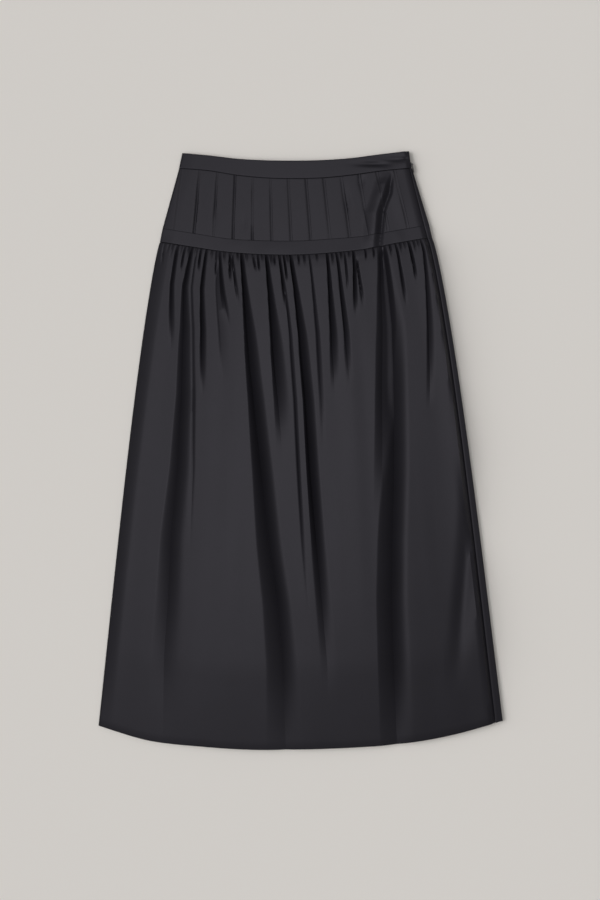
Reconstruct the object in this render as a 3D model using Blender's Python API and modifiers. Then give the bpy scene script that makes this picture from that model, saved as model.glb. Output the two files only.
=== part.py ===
"""A pintuck skirt laid flat with its front up. It is a waistband, a yoke with pintucks, a plain hip band
and a long gathered skirt, each with a front and a back, and a concealed zip in the right side seam.
Metres, +Z up from the table, +Y towards the waist, +X towards the zip."""

import bisect
import math
from collections import namedtuple

import bmesh
import bpy
from mathutils import Matrix, Vector

MM = 0.001

# Cloth, in metres
WALL = 1.2 * MM  # one layer of cloth with its pressed allowances
BAND_WALL = 1.6 * MM  # the waistband and the hip band are two layers
SEAM_GAP = 0.3 * MM
ZIP_SLIT = 2.0 * MM  # between front and back along the right side, where the zip and allowances lie
SIDE_ROUNDING = 40 * MM  # the front rises to its puff over this width at each side
WAIST_PUFF = 2.0 * MM  # how far air lifts the front off the back at the waist
HIP_PUFF = 3.0 * MM  # the same at the hip band
STEEPEST_WALL = 1.8  # the wall's upright thickness on the steepest slopes, over its own

# Lines across the garment, in mm. heights are y at nine even stations from the left end to the right end
CrossLine = namedtuple("CrossLine", "left_x right_x heights")
WAIST_TOP = CrossLine(-177.9, 162.7, (447.1, 442.9, 437.9, 435.6, 435.0, 435.9, 439.1, 444.7, 449.4))
WAIST_SEAM = CrossLine(-182.6, 166.0, (424.1, 420.5, 413.4, 409.2, 408.1, 409.4, 413.8, 419.8, 423.7))
YOKE_TOP = CrossLine(-182.6, 167.7, (424.1, 420.5, 413.4, 409.2, 408.1, 409.4, 413.8, 419.8, 423.7))
HIP_SEAM = CrossLine(-207.5, 193.5, (333.5, 325.4, 317.6, 314.8, 314.3, 317.2, 321.4, 330.0, 338.5))
GATHER_SEAM = CrossLine(-211.4, 197.8, (313.3, 304.9, 297.4, 293.6, 293.0, 296.0, 301.4, 311.2, 319.6))
HEM = CrossLine(-303.9, 303.9, (-414.0, -436.0, -444.4, -449.2, -448.9, -446.2, -440.4, -427.2, -406.0))

# How the skirt's side edges bow out between the gathered seam and the hem
LEFT_BOW = 8.4 * MM
RIGHT_BOW = 9.2 * MM
BOW_SKEW = 0.6  # below 1 the widest bow lies above the middle

# The back rolls round to the front along the right side, and shows there by these widths
YOKE_TOP_LIP = 3.4 * MM
HIP_LIP = 7.6 * MM
SKIRT_LIP = 6.6 * MM
HEM_LIP = 11.0 * MM
TURN_STEPS = 6

# Pintucks, in metres: narrow tucks that fan out from the waist seam to the hip seam
TUCK_COUNT = 13
TUCK_WIDTH = 3.5 * MM
TUCK_RISE = 1.0 * MM
TUCK_SLOPE = 0.5 * MM
FIRST_TUCK_TOP = -178.6 * MM
TUCK_PITCH_TOP = 26.6 * MM
FIRST_TUCK_FOOT = -190.0 * MM
TUCK_PITCH_FOOT = 29.3 * MM

# One soft crease runs down the yoke and the bands near the right, from the waist into the skirt's right fold
CREASE_TOP_X = 134 * MM
CREASE_FOOT_X = 117 * MM
CREASE_DEPTH = 0.8  # share of the puff
CREASE_STEEP = 5 * MM
CREASE_SOFT = 12 * MM
CREASE_COLUMNS = (0.885, 0.915)  # shares across the bands, beside the crease

# The four long folds of the skirt, left to right. Each row gives, at one depth below the gathered seam,
# each fold's place as a share of the panel's width
LongFolds = namedtuple("LongFolds", "depth_mm left left_middle middle right")
LONG_FOLDS = (
    LongFolds(0, 0.110, 0.300, 0.481, 0.803),
    LongFolds(80, 0.107, 0.325, 0.498, 0.781),
    LongFolds(200, 0.132, 0.359, 0.525, 0.757),
    LongFolds(330, 0.142, 0.391, 0.540, 0.746),
    LongFolds(470, 0.139, 0.425, 0.547, 0.742),
    LongFolds(600, 0.139, 0.454, 0.564, 0.733),
    LongFolds(745, 0.117, 0.476, 0.562, 0.728),
)

# Every gather and fold of the front. A place counts from 0 at the left edge through 1 to 4 at the long
# folds to 5 at the right edge. start and end are depths below the seam, steep and soft the half widths
# to the left and right at the top, spread how many times wider they are at the end, all in mm but spread
Fold = namedtuple("Fold", "place end_place start end strength steep soft spread")
FOLDS = (
    Fold(0.13, 0.22, 0, 35, 0.5, 3, 4, 1),
    Fold(0.51, 0.70, 0, 160, 0.7, 3, 5, 1.5),
    Fold(0.77, 0.80, 0, 32, 0.6, 2.5, 4, 1),
    Fold(1.00, 1.00, 0, 700, 0.9, 4, 7, 4),
    Fold(1.14, 1.28, 0, 460, 0.6, 3, 4, 1.5),
    Fold(1.27, 1.27, 0, 235, 0.85, 3.5, 6, 1.5),
    Fold(1.50, 1.73, 0, 115, 0.6, 3, 5, 1.5),
    Fold(1.62, 1.60, 30, 193, 0.4, 3, 6, 1.5),
    Fold(1.77, 1.76, 0, 38, 0.7, 3, 4, 1),
    Fold(1.86, 1.88, 8, 80, 0.6, 3, 5, 1),
    Fold(2.00, 2.00, 0, 745, 0.95, 5, 9, 4),
    Fold(2.20, 2.22, 0, 14, 0.3, 3, 4, 1),
    Fold(2.48, 2.42, 0, 310, 0.85, 4, 8, 2),
    Fold(2.64, 2.66, 0, 14, 0.5, 2.5, 3.5, 1),
    Fold(2.76, 2.70, 0, 560, 0.65, 3, 6, 2),
    Fold(2.87, 2.84, 0, 30, 0.6, 2.5, 3.5, 1),
    Fold(3.00, 3.00, 0, 700, 0.95, 5, 9, 3),
    Fold(3.09, 3.08, 0, 14, 0.5, 2.5, 3.5, 1),
    Fold(3.20, 3.24, 0, 334, 0.65, 3.5, 6, 2),
    Fold(3.37, 3.38, 0, 222, 0.8, 3.5, 7, 1.5),
    Fold(3.45, 3.57, 0, 205, 0.6, 3, 5, 1.5),
    Fold(3.52, 3.51, 0, 25, 0.6, 2.5, 3.5, 1),
    Fold(3.60, 3.60, 0, 47, 0.4, 3, 4, 1),
    Fold(3.68, 3.66, 0, 90, 0.75, 3, 6, 1.5),
    Fold(3.76, 3.76, 0, 82, 0.5, 2.5, 5, 1),
    Fold(3.82, 3.82, 0, 14, 0.5, 2.5, 3.5, 1),
    Fold(3.88, 3.88, 0, 14, 0.5, 2.5, 3.5, 1),
    Fold(3.94, 3.94, 0, 14, 0.5, 2.5, 3.5, 1),
    Fold(4.00, 4.00, 0, 745, 0.95, 4, 9, 5),
    Fold(4.14, 4.14, 0, 334, 0.85, 4, 7, 3),
    Fold(4.26, 4.37, 0, 107, 0.6, 3, 5, 1),
    Fold(4.42, 4.42, 0, 14, 0.4, 3, 4, 1),
    Fold(4.55, 4.56, 0, 55, 0.8, 3, 5, 1),
    Fold(4.65, 4.66, 0, 14, 0.4, 3, 4, 1),
    Fold(4.76, 4.57, 20, 251, 0.5, 3, 6, 2),
    Fold(4.88, 4.88, 0, 14, 0.3, 3, 4, 1),
    Fold(4.87, 4.42, 440, 700, 0.5, 16, 24, 1),
)

# How high the cloth stands between the folds, over where it lies on the back
Loft = namedtuple("Loft", "depth_mm rise_mm")
LOFTS = (
    Loft(0, 3.0),
    Loft(16, 5.6),
    Loft(45, 8.4),
    Loft(120, 10.0),
    Loft(300, 10.0),
    Loft(470, 9.4),
    Loft(620, 8.4),
    Loft(745, 7.0),
)
SEAM_GRIP = 0.45  # at the seam the gathers are this share of their strength
GRIP_LENGTH = 16 * MM
RIDGE_AT = 0.66  # the crest lies this far from one fold to the next
WIDE_GAP = 0.16  # places further apart than this get one more column
AT_SEAM_MM = 50  # a fold that starts above this depth has its own column
FADE_FROM = 0.45  # a fold keeps its strength over this share of its length, then fades
FADE_IN = 0.25  # a fold that starts below the seam comes in over this share of its length
FOLD_SHOULDER = 1.5  # a fold's sides level out this many times its half width away
SKIRT_DEPTHS_MM = (0, 6, 14, 24, 38, 56, 80, 112, 150, 200, 260, 330, 400, 470, 540, 610, 680, 745)

# Concealed zip, in metres
ZIP_TAPE_WIDTH = 12 * MM
ZIP_TAPE_THICKNESS = 1.0 * MM
ZIP_LENGTH = 200 * MM
ZIP_TOP_INSET = 2.4 * MM  # below the waist's top edge
ZIP_SIDE_INSET = 2.6 * MM  # inside the rolled side, and up to the edge at the waistband
ZIP_TAPE_BASE = BAND_WALL + SEAM_GAP
SLIDER_Y = 429.5 * MM
SLIDER_LENGTH = 6.4 * MM
SLIDER_THICKNESS = 1.2 * MM
SLIDER_WIDTH = 3.6 * MM
ZIP_CENTRE_Z = 2.6 * MM
BRIDGE_INNER = 0.85 * MM
BRIDGE_WALL = 0.8 * MM
BRIDGE_WIDTH = 1.2 * MM
BRIDGE_STEPS = 8
PULL_THICKNESS = 0.8 * MM
PULL_BAR = 0.5 * MM  # the bar reaches this far above the axis
PullRow = namedtuple("PullRow", "below_axis_mm width_mm")
PULL_OUTLINE = (
    PullRow(-0.5, 3.6),
    PullRow(5.8, 3.6),
    PullRow(10.4, 4.2),
    PullRow(12.0, 3.2),
    PullRow(12.5, 1.4),
)
PULL_SLOT_LENGTH = 1.8 * MM
PULL_SLOT_WIDTH = 1.9 * MM
PULL_LEAN = math.radians(12.5)  # from straight down, along the yoke's edge

# Finishes: colour, roughness, metallic
CHARCOAL = ("charcoal satin crepe", (0.030, 0.029, 0.034, 1), 0.62, 0.0)
TAPE_BLACK = ("black zip tape", (0.012, 0.012, 0.014, 1), 0.75, 0.0)
ENAMEL_BLACK = ("black enamelled zinc", (0.018, 0.018, 0.020, 1), 0.38, 0.6)

COLLECTION_NAME = "pintuck_skirt"


def clear_scene():
    for obj in list(bpy.data.objects):
        bpy.data.objects.remove(obj, do_unlink=True)


def finish_material(finish):
    """The Principled material of one finish, made once."""
    name, colour, roughness, metallic = finish
    material = bpy.data.materials.get(name)
    if material is None:
        material = bpy.data.materials.new(name)
        material.use_nodes = True
        shader = material.node_tree.nodes["Principled BSDF"]
        shader.inputs["Base Color"].default_value = colour
        shader.inputs["Roughness"].default_value = roughness
        shader.inputs["Metallic"].default_value = metallic
        material.diffuse_color = colour
    return material


def smooth(share):
    """0 to 1 with flat ends."""
    share = min(1.0, max(0.0, share))
    return share * share * (3 - 2 * share)


def between(stations, values, at):
    """The value at one station, straight between the nearest two."""
    if at <= stations[0]:
        return values[0]
    if at >= stations[-1]:
        return values[-1]
    i = bisect.bisect_right(stations, at) - 1
    share = (at - stations[i]) / (stations[i + 1] - stations[i])
    return values[i] + (values[i + 1] - values[i]) * share


def curve_through(values, share):
    """A smooth curve through evenly spaced values, read at a share of its length."""
    last = len(values) - 1
    place = min(max(share, 0.0), 1.0) * last
    i = min(int(place), last - 1)
    t = place - i
    before = values[i - 1] if i > 0 else 2 * values[0] - values[1]
    after = values[i + 2] if i + 2 <= last else 2 * values[last] - values[last - 1]
    a, b = values[i], values[i + 1]
    slope_a, slope_b = (b - before) / 2, (after - a) / 2
    return (
        a * (2 * t**3 - 3 * t**2 + 1)
        + slope_a * (t**3 - 2 * t**2 + t)
        + b * (3 * t**2 - 2 * t**3)
        + slope_b * (t**3 - t**2)
    )


def line_point(line, share):
    """A point of a cross line in plan."""
    x = line.left_x + (line.right_x - line.left_x) * share
    return Vector((x * MM, curve_through(line.heights, share) * MM, 0))


def panel_point(upper, lower, across, down, bowed=False):
    """A point in plan of the panel between two cross lines, held off each seam by half the gap."""
    top = line_point(upper, across) - Vector((0, SEAM_GAP / 2, 0))
    foot = line_point(lower, across)
    if not bowed:
        foot += Vector((0, SEAM_GAP / 2, 0))
    point = top.lerp(foot, down)
    if bowed:
        bow = math.sin(math.pi * down**BOW_SKEW)
        point.x += bow * (RIGHT_BOW * across - LEFT_BOW * (1 - across))
    return point


def loft_wall(name, sections, finish, collection):
    """A closed wall through its sections. Each section is its outer path and its inner path, of equal length."""
    mesh = bpy.data.meshes.new(name)
    bm = bmesh.new()
    rows = [[[bm.verts.new(p) for p in path] for path in section] for section in sections]
    for (outer, inner), (next_outer, next_inner) in zip(rows, rows[1:]):
        for i in range(len(outer) - 1):
            bm.faces.new((outer[i], next_outer[i], next_outer[i + 1], outer[i + 1]))
            bm.faces.new((inner[i], inner[i + 1], next_inner[i + 1], next_inner[i]))
        bm.faces.new((outer[0], inner[0], next_inner[0], next_outer[0]))
        bm.faces.new((outer[-1], next_outer[-1], next_inner[-1], inner[-1]))
    for outer, inner in (rows[0], rows[-1]):
        for i in range(len(outer) - 1):
            bm.faces.new((outer[i], outer[i + 1], inner[i + 1], inner[i]))
    bmesh.ops.recalc_face_normals(bm, faces=bm.faces)
    bm.to_mesh(mesh)
    bm.free()
    mesh.shade_smooth()
    mesh.set_sharp_from_angle(angle=math.radians(50))
    mesh.materials.append(finish_material(finish))
    obj = bpy.data.objects.new(name, mesh)
    collection.objects.link(obj)
    return obj


def wall_over(grid, wall, extra=None):
    """Sections of a wall that stands on a grid of its underside points, as thick square to its slope."""
    sections = []
    last_row, last_column = len(grid) - 1, len(grid[0]) - 1
    for j, row in enumerate(grid):
        outer = []
        for i, point in enumerate(row):
            along = row[min(i + 1, last_column)] - row[max(i - 1, 0)]
            down = grid[max(j - 1, 0)][i] - grid[min(j + 1, last_row)][i]
            upright = along.cross(down).normalized().z
            thickness = wall * min(STEEPEST_WALL, 1 / max(upright, 0.1))
            rise = extra[j][i] if extra else 0.0
            outer.append(point + Vector((0, 0, thickness + rise)))
        sections.append((outer, row))
    return sections


def even(count):
    return [i / count for i in range(count + 1)]


def crease_share(x, down):
    """How much of the puff the yoke's soft crease takes away at x."""
    centre = CREASE_TOP_X + (CREASE_FOOT_X - CREASE_TOP_X) * down
    reach = (centre - x) / CREASE_STEEP if x < centre else (x - centre) / CREASE_SOFT
    return CREASE_DEPTH * (1 - smooth(reach))


def front_lie(x, left, right, wall, puff, down_yoke):
    """Height of the underside of a front piece: on the back at the left, over the zip at the right."""
    on_left = wall + SEAM_GAP
    on_right = wall + ZIP_SLIT
    ground = on_left + (on_right - on_left) * smooth(1 - (right - x) / SIDE_ROUNDING)
    lifted = smooth((x - left) / SIDE_ROUNDING) * smooth((right - x) / SIDE_ROUNDING)
    return ground + puff * lifted * (1 - crease_share(x, down_yoke))


def front_grid(upper, lower, columns, rows, wall, lips, puffs, crease_span):
    """Underside points of a front piece that keeps inside the back's lip at the right."""
    grid = []
    for down in rows:
        lip = lips[0] + (lips[1] - lips[0]) * down
        puff = puffs[0] + (puffs[1] - puffs[0]) * down
        down_yoke = crease_span[0] + (crease_span[1] - crease_span[0]) * down
        left = panel_point(upper, lower, 0, down)
        full_right = panel_point(upper, lower, 1, down)
        kept = 1 - lip / (full_right.x - left.x)
        row = []
        for across in columns(down, left.x, full_right.x - lip):
            point = panel_point(upper, lower, across * kept, down)
            point.z = front_lie(point.x, left.x, full_right.x - lip, wall, puff, down_yoke)
            row.append(point)
        grid.append(row)
    return grid


def plain_columns(count):
    """Even columns, with two more at the soft crease."""
    shares = sorted(even(count) + list(CREASE_COLUMNS))
    return lambda down, left, right: shares


def tuck_x(index, down):
    top = FIRST_TUCK_TOP + TUCK_PITCH_TOP * index
    foot = FIRST_TUCK_FOOT + TUCK_PITCH_FOOT * index
    return top + (foot - top) * down


def yoke_stops(down, left, right):
    """x and rise of each column of the pintucked yoke: four to a tuck, and one between tucks."""
    half = TUCK_WIDTH / 2
    stops = [(left, 0.0)]
    for index in range(TUCK_COUNT):
        x = tuck_x(index, down)
        stops += [
            (x - half, 0.0),
            (x - half + TUCK_SLOPE, 0.75 * TUCK_RISE),
            (x + half - TUCK_SLOPE, TUCK_RISE),
            (x + half, 0.0),
        ]
        if index < TUCK_COUNT - 1:
            gap = tuck_x(index + 1, down) - x
            stops += [(x + gap / 3, 0.0), (x + 2 * gap / 3, 0.0)]
    stops += [(x + (right - x) / 2, 0.0), (right, 0.0)]
    return stops


def yoke_columns(down, left, right):
    """The yoke's columns as shares of the kept width."""
    return [(x - left) / (right - left) for x, rise in yoke_stops(down, left, right)]


def build_yoke_front(collection):
    rows = even(6)
    lips = (YOKE_TOP_LIP + SEAM_GAP, HIP_LIP + SEAM_GAP)
    grid = front_grid(
        YOKE_TOP, HIP_SEAM, yoke_columns, rows, WALL, lips, (WAIST_PUFF, HIP_PUFF), (0, 1)
    )
    rises = []
    for down, row in zip(rows, grid):
        stops = yoke_stops(down, row[0].x, row[-1].x)
        rises.append([rise for x, rise in stops])
    loft_wall("yoke_front", wall_over(grid, WALL, rises), CHARCOAL, collection)


def build_waistband_front(collection):
    grid = front_grid(
        WAIST_TOP,
        WAIST_SEAM,
        plain_columns(24),
        even(3),
        BAND_WALL,
        (0, 0),
        (WAIST_PUFF, WAIST_PUFF),
        (0, 0),
    )
    loft_wall("waistband_front", wall_over(grid, BAND_WALL), CHARCOAL, collection)


def build_hip_band_front(collection):
    lips = (HIP_LIP + SEAM_GAP, SKIRT_LIP + SEAM_GAP)
    grid = front_grid(
        HIP_SEAM,
        GATHER_SEAM,
        plain_columns(28),
        even(2),
        BAND_WALL,
        lips,
        (HIP_PUFF, HIP_PUFF),
        (1, 1),
    )
    loft_wall("hip_band_front", wall_over(grid, BAND_WALL), CHARCOAL, collection)


def guide_share(place, depth):
    """A fold place, 0 to 5, as a share of the panel's width at a depth below the seam."""
    depths = [row.depth_mm * MM for row in LONG_FOLDS]
    guides = [0.0]
    for column in range(1, 5):
        guides.append(between(depths, [row[column] for row in LONG_FOLDS], depth))
    guides.append(1.0)
    i = min(int(place), 4)
    return guides[i] + (guides[i + 1] - guides[i]) * (place - i)


def fold_state(fold, depth):
    """Place, strength, steep width and soft width of one fold at a depth."""
    start, end = fold.start * MM, fold.end * MM
    run = (depth - start) / (end - start)
    if run < 0 and start > 0:
        strength = fold.strength * smooth(1 + run / FADE_IN)
    else:
        strength = fold.strength * (1 - smooth((run - FADE_FROM) / (1 - FADE_FROM)))
    run = min(1.0, max(0.0, run))
    place = fold.place + (fold.end_place - fold.place) * run
    widen = 1 + (fold.spread - 1) * run
    return place, strength, fold.steep * MM * widen, fold.soft * MM * widen


def skirt_places():
    """The front's columns: one in each fold that starts near the seam, and one or two crests between."""
    troughs = sorted(fold.place for fold in FOLDS if fold.start < AT_SEAM_MM)
    places = [0.0]
    for place in troughs + [5.0]:
        gap = place - places[-1]
        if gap > WIDE_GAP:
            places.append(places[-1] + gap * RIDGE_AT / 2)
            gap = place - places[-1]
        places += [places[-1] + gap * RIDGE_AT, place]
    return places


def skirt_relief(x, width, left, depth):
    """How high the front skirt stands over the back at x: the loft, less what the folds take away."""
    loft = between([row.depth_mm * MM for row in LOFTS], [row.rise_mm * MM for row in LOFTS], depth)
    grip = SEAM_GRIP + (1 - SEAM_GRIP) * smooth(depth / GRIP_LENGTH)
    kept = 1.0
    for fold in FOLDS:
        place, strength, steep, soft = fold_state(fold, depth)
        if strength <= 0:
            continue
        centre = left + width * guide_share(place, depth)
        reach = (centre - x) / steep if x < centre else (x - centre) / soft
        kept *= 1 - grip * strength * (1 - smooth(reach / FOLD_SHOULDER))
    return loft * kept


def build_skirt_front(collection):
    places = skirt_places()
    full_depth = SKIRT_DEPTHS_MM[-1] * MM
    grid = []
    for depth_mm in SKIRT_DEPTHS_MM:
        depth = depth_mm * MM
        down = depth / full_depth
        lip = SKIRT_LIP + (HEM_LIP - SKIRT_LIP) * down + SEAM_GAP
        left = panel_point(GATHER_SEAM, HEM, 0, down, True)
        right = panel_point(GATHER_SEAM, HEM, 1, down, True)
        width = right.x - left.x
        edge = right.x - lip
        row = []
        for place in places:
            across = guide_share(place, depth) * (edge - left.x) / width
            point = panel_point(GATHER_SEAM, HEM, across, down, True)
            relief = skirt_relief(point.x, edge - left.x, left.x, depth)
            ground = front_lie(point.x, left.x, edge, WALL, 0, 1)
            sides = smooth((point.x - left.x) / SIDE_ROUNDING) * smooth((edge - point.x) / SIDE_ROUNDING)
            point.z = ground + relief * sides
            row.append(point)
        grid.append(row)
    loft_wall("skirt_front", wall_over(grid, WALL), CHARCOAL, collection)


def back_section(upper, lower, down, columns, wall, lip, bowed):
    """Outer and inner path of a back piece: flat on the table, then round the right side to its lip."""
    radius = wall + ZIP_SLIT / 2
    full_right = panel_point(upper, lower, 1, down, bowed)
    left_x = panel_point(upper, lower, 0, down, bowed).x
    kept = (full_right.x - radius - left_x) / (full_right.x - left_x)
    outer, inner = [], []
    for across in columns:
        point = panel_point(upper, lower, across * kept, down, bowed)
        outer.append(point)
        inner.append(point + Vector((0, 0, wall)))
    if lip <= 0:
        return outer, inner
    turn = outer[-1]
    for step in range(1, TURN_STEPS + 1):
        angle = math.pi * step / TURN_STEPS
        for path, reach in ((outer, radius), (inner, radius - wall)):
            offset = Vector((math.sin(angle) * reach, 0, radius - math.cos(angle) * reach))
            path.append(turn + offset)
    end_x = full_right.x - lip
    across = (end_x - left_x) / (full_right.x - left_x)
    end = panel_point(upper, lower, across, down, bowed)
    for path, height in ((outer, 2 * radius), (inner, 2 * radius - wall)):
        path.append(end + Vector((0, 0, height)))
    return outer, inner


def build_back(name, upper, lower, columns, rows, wall, lips, collection, bowed=False):
    sections = []
    for down in rows:
        lip = lips[0] + (lips[1] - lips[0]) * down
        sections.append(back_section(upper, lower, down, columns, wall, lip, bowed))
    loft_wall(name, sections, CHARCOAL, collection)


def build_backs(collection):
    build_back(
        "yoke_back", YOKE_TOP, HIP_SEAM, even(20), even(4), WALL, (YOKE_TOP_LIP, HIP_LIP), collection
    )
    build_back(
        "hip_band_back", HIP_SEAM, GATHER_SEAM, even(20), even(1), BAND_WALL, (HIP_LIP, SKIRT_LIP), collection
    )
    skirt_rows = [depth / SKIRT_DEPTHS_MM[-1] for depth in SKIRT_DEPTHS_MM]
    build_back(
        "skirt_back", GATHER_SEAM, HEM, even(16), skirt_rows, WALL, (SKIRT_LIP, HEM_LIP), collection, True
    )
    sections = []
    for down in even(1):
        row = [panel_point(WAIST_TOP, WAIST_SEAM, across, down) for across in even(20)]
        sections.append(([p + Vector((0, 0, BAND_WALL)) for p in row], row))
    loft_wall("waistband_back", sections, CHARCOAL, collection)


def right_edge_x(y):
    """The garment's right edge at a height, between the waist's top and the gathered seam and below it."""
    lines = (WAIST_TOP, WAIST_SEAM, HIP_SEAM, GATHER_SEAM)
    ends = [(line.heights[-1] * MM, line.right_x * MM) for line in lines]
    if y > ends[-1][0]:
        ends.reverse()
        return between([end[0] for end in ends], [end[1] for end in ends], y)
    down = (ends[-1][0] - y) / ((GATHER_SEAM.heights[-1] - HEM.heights[-1]) * MM)
    return panel_point(GATHER_SEAM, HEM, 1, down, True).x


def build_zip_tape(collection):
    """The closed zip: one flat ribbon in the slit between front and back."""
    top_y = WAIST_TOP.heights[-1] * MM - ZIP_TOP_INSET
    seam_y = WAIST_SEAM.heights[-1] * MM
    sections = []
    for share in even(10):
        y = top_y - ZIP_LENGTH * share
        in_band = smooth((y - seam_y) / (top_y - seam_y))
        border = right_edge_x(y) - (ZIP_SIDE_INSET * (1 - in_band) + SEAM_GAP * in_band)
        low = [Vector((x, y, ZIP_TAPE_BASE)) for x in (border - ZIP_TAPE_WIDTH, border)]
        sections.append(([p + Vector((0, 0, ZIP_TAPE_THICKNESS)) for p in low], low))
    loft_wall("zip_tape", sections, TAPE_BLACK, collection)


def zip_frame():
    """Where the slider sits: a point on the waistband's right edge, the way down along it, and outwards."""
    top = line_point(WAIST_TOP, 1)
    foot = line_point(WAIST_SEAM, 1)
    down = (foot - top).normalized()
    seat = top + down * ((SLIDER_Y - top.y) / down.y)
    seat.z = ZIP_CENTRE_Z
    outwards = Vector((-down.y, down.x, 0))
    return seat, down, outwards


def join_by_union(obj, tool):
    """Joins a tool object into obj and removes it."""
    union = obj.modifiers.new("union", "BOOLEAN")
    union.operation = "UNION"
    union.solver = "EXACT"
    union.object = tool
    graph = bpy.context.evaluated_depsgraph_get()
    joined = bpy.data.meshes.new_from_object(obj.evaluated_get(graph))
    obj.modifiers.clear()
    obj.data = joined
    bpy.data.objects.remove(tool, do_unlink=True)


def box_object(name, size, matrix, collection, finish):
    mesh = bpy.data.meshes.new(name)
    bm = bmesh.new()
    bmesh.ops.create_cube(bm, size=1)
    bmesh.ops.scale(bm, vec=size, verts=bm.verts)
    bmesh.ops.transform(bm, matrix=matrix, verts=bm.verts)
    bm.to_mesh(mesh)
    bm.free()
    mesh.materials.append(finish_material(finish))
    obj = bpy.data.objects.new(name, mesh)
    collection.objects.link(obj)
    return obj


def build_zip_slider(collection):
    """A thin body on the seam's edge with a bridge over it that holds the pull's bar."""
    seat, down, outwards = zip_frame()
    up = Vector((0, 0, 1))
    frame = Matrix((outwards, down, up)).transposed().to_4x4()
    middle = seat + outwards * (SEAM_GAP + SLIDER_THICKNESS / 2)
    frame.translation = middle
    slider = box_object(
        "zip_slider", (SLIDER_THICKNESS, SLIDER_LENGTH, SLIDER_WIDTH), frame, collection, ENAMEL_BLACK
    )
    edge = slider.modifiers.new("rounded edges", "BEVEL")
    edge.width = 0.3 * MM
    edge.segments = 1
    graph = bpy.context.evaluated_depsgraph_get()
    slider.data = bpy.data.meshes.new_from_object(slider.evaluated_get(graph))
    slider.modifiers.clear()

    axis_out = SEAM_GAP + SLIDER_THICKNESS + BRIDGE_INNER
    centre = seat + outwards * axis_out
    radius = BRIDGE_INNER + BRIDGE_WALL / 2
    foot_out = -(BRIDGE_INNER + SLIDER_THICKNESS / 2)
    path = [(foot_out, -radius)]
    path += [
        (math.sin(math.pi * i / BRIDGE_STEPS) * radius, -math.cos(math.pi * i / BRIDGE_STEPS) * radius)
        for i in range(BRIDGE_STEPS + 1)
    ]
    path.append((foot_out, radius))
    sections = []
    for i, (out, along) in enumerate(path):
        angle = math.pi * min(max(i - 1, 0), BRIDGE_STEPS) / BRIDGE_STEPS
        normal = outwards * math.sin(angle) - down * math.cos(angle)
        point = centre + outwards * out + down * along
        across = up * (BRIDGE_WIDTH / 2)
        half = normal * (BRIDGE_WALL / 2)
        outer = [point + half - across, point + half + across]
        inner = [point - half - across, point - half + across]
        sections.append((outer, inner))
    bridge = loft_wall("zip_bridge", sections, ENAMEL_BLACK, collection)
    join_by_union(slider, bridge)


def build_zip_pull(collection, cutters):
    """A flat tab whose top bar turns in the bridge. Its origin is on that bar."""
    seat, down, outwards = zip_frame()
    pivot = seat + outwards * (SEAM_GAP + SLIDER_THICKNESS + BRIDGE_INNER)
    half = PULL_THICKNESS / 2
    sections = []
    for row in PULL_OUTLINE:
        along, reach = row.below_axis_mm * MM, row.width_mm / 2 * MM
        outer = [Vector((half, -along, -reach)), Vector((half, -along, reach))]
        inner = [Vector((-half, -along, -reach)), Vector((-half, -along, reach))]
        sections.append((outer, inner))
    pull = loft_wall("zip_pull", sections, ENAMEL_BLACK, collection)
    slot_middle = -(PULL_BAR + PULL_SLOT_LENGTH / 2)
    slot = box_object(
        "pull_slot",
        (PULL_THICKNESS * 4, PULL_SLOT_LENGTH, PULL_SLOT_WIDTH),
        Matrix.Translation((0, slot_middle, 0)),
        cutters,
        ENAMEL_BLACK,
    )
    slot.hide_render = True
    slot.display_type = "WIRE"
    cut = pull.modifiers.new("slot for the bridge", "BOOLEAN")
    cut.operation = "DIFFERENCE"
    cut.solver = "EXACT"
    cut.object = slot
    for obj in (pull, slot):
        obj.location = pivot
        obj.rotation_euler = (0, 0, PULL_LEAN)


def build():
    clear_scene()
    collection = bpy.data.collections.new(COLLECTION_NAME)
    cutters = bpy.data.collections.new("cutters")
    for group in (collection, cutters):
        bpy.context.scene.collection.children.link(group)
    build_waistband_front(collection)
    build_yoke_front(collection)
    build_hip_band_front(collection)
    build_skirt_front(collection)
    build_backs(collection)
    build_zip_tape(collection)
    build_zip_slider(collection)
    build_zip_pull(collection, cutters)


build()
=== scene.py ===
import math
from collections import namedtuple

import bpy
import numpy as np
from mathutils import Matrix, Vector


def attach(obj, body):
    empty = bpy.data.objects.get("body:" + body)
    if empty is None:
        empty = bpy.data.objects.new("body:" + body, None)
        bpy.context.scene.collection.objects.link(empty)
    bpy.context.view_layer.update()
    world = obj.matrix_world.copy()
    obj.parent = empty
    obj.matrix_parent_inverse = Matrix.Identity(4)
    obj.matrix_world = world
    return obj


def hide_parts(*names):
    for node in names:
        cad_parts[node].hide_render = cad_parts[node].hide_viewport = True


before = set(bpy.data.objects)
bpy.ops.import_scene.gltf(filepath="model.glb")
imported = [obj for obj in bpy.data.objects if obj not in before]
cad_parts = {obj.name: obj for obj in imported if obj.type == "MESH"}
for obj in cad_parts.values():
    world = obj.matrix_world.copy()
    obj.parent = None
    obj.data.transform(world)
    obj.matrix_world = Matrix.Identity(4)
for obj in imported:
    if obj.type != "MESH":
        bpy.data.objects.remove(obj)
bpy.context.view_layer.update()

# Camera: the photograph looks straight down at the skirt, which lies on a pale ground, from about a
# standing person's height. The picture's height covers 1350 mm of the skirt.
PHOTO_HEIGHT_MM = 1350
CAMERA_HEIGHT_MM = 2000
CLOTH_HEIGHT_MM = 7  # the picture's scale holds at this height, the middle of the cloth's
SENSOR_MM = 36
VIEW_CENTRE_MM = (-0.9, 0.5)

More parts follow.
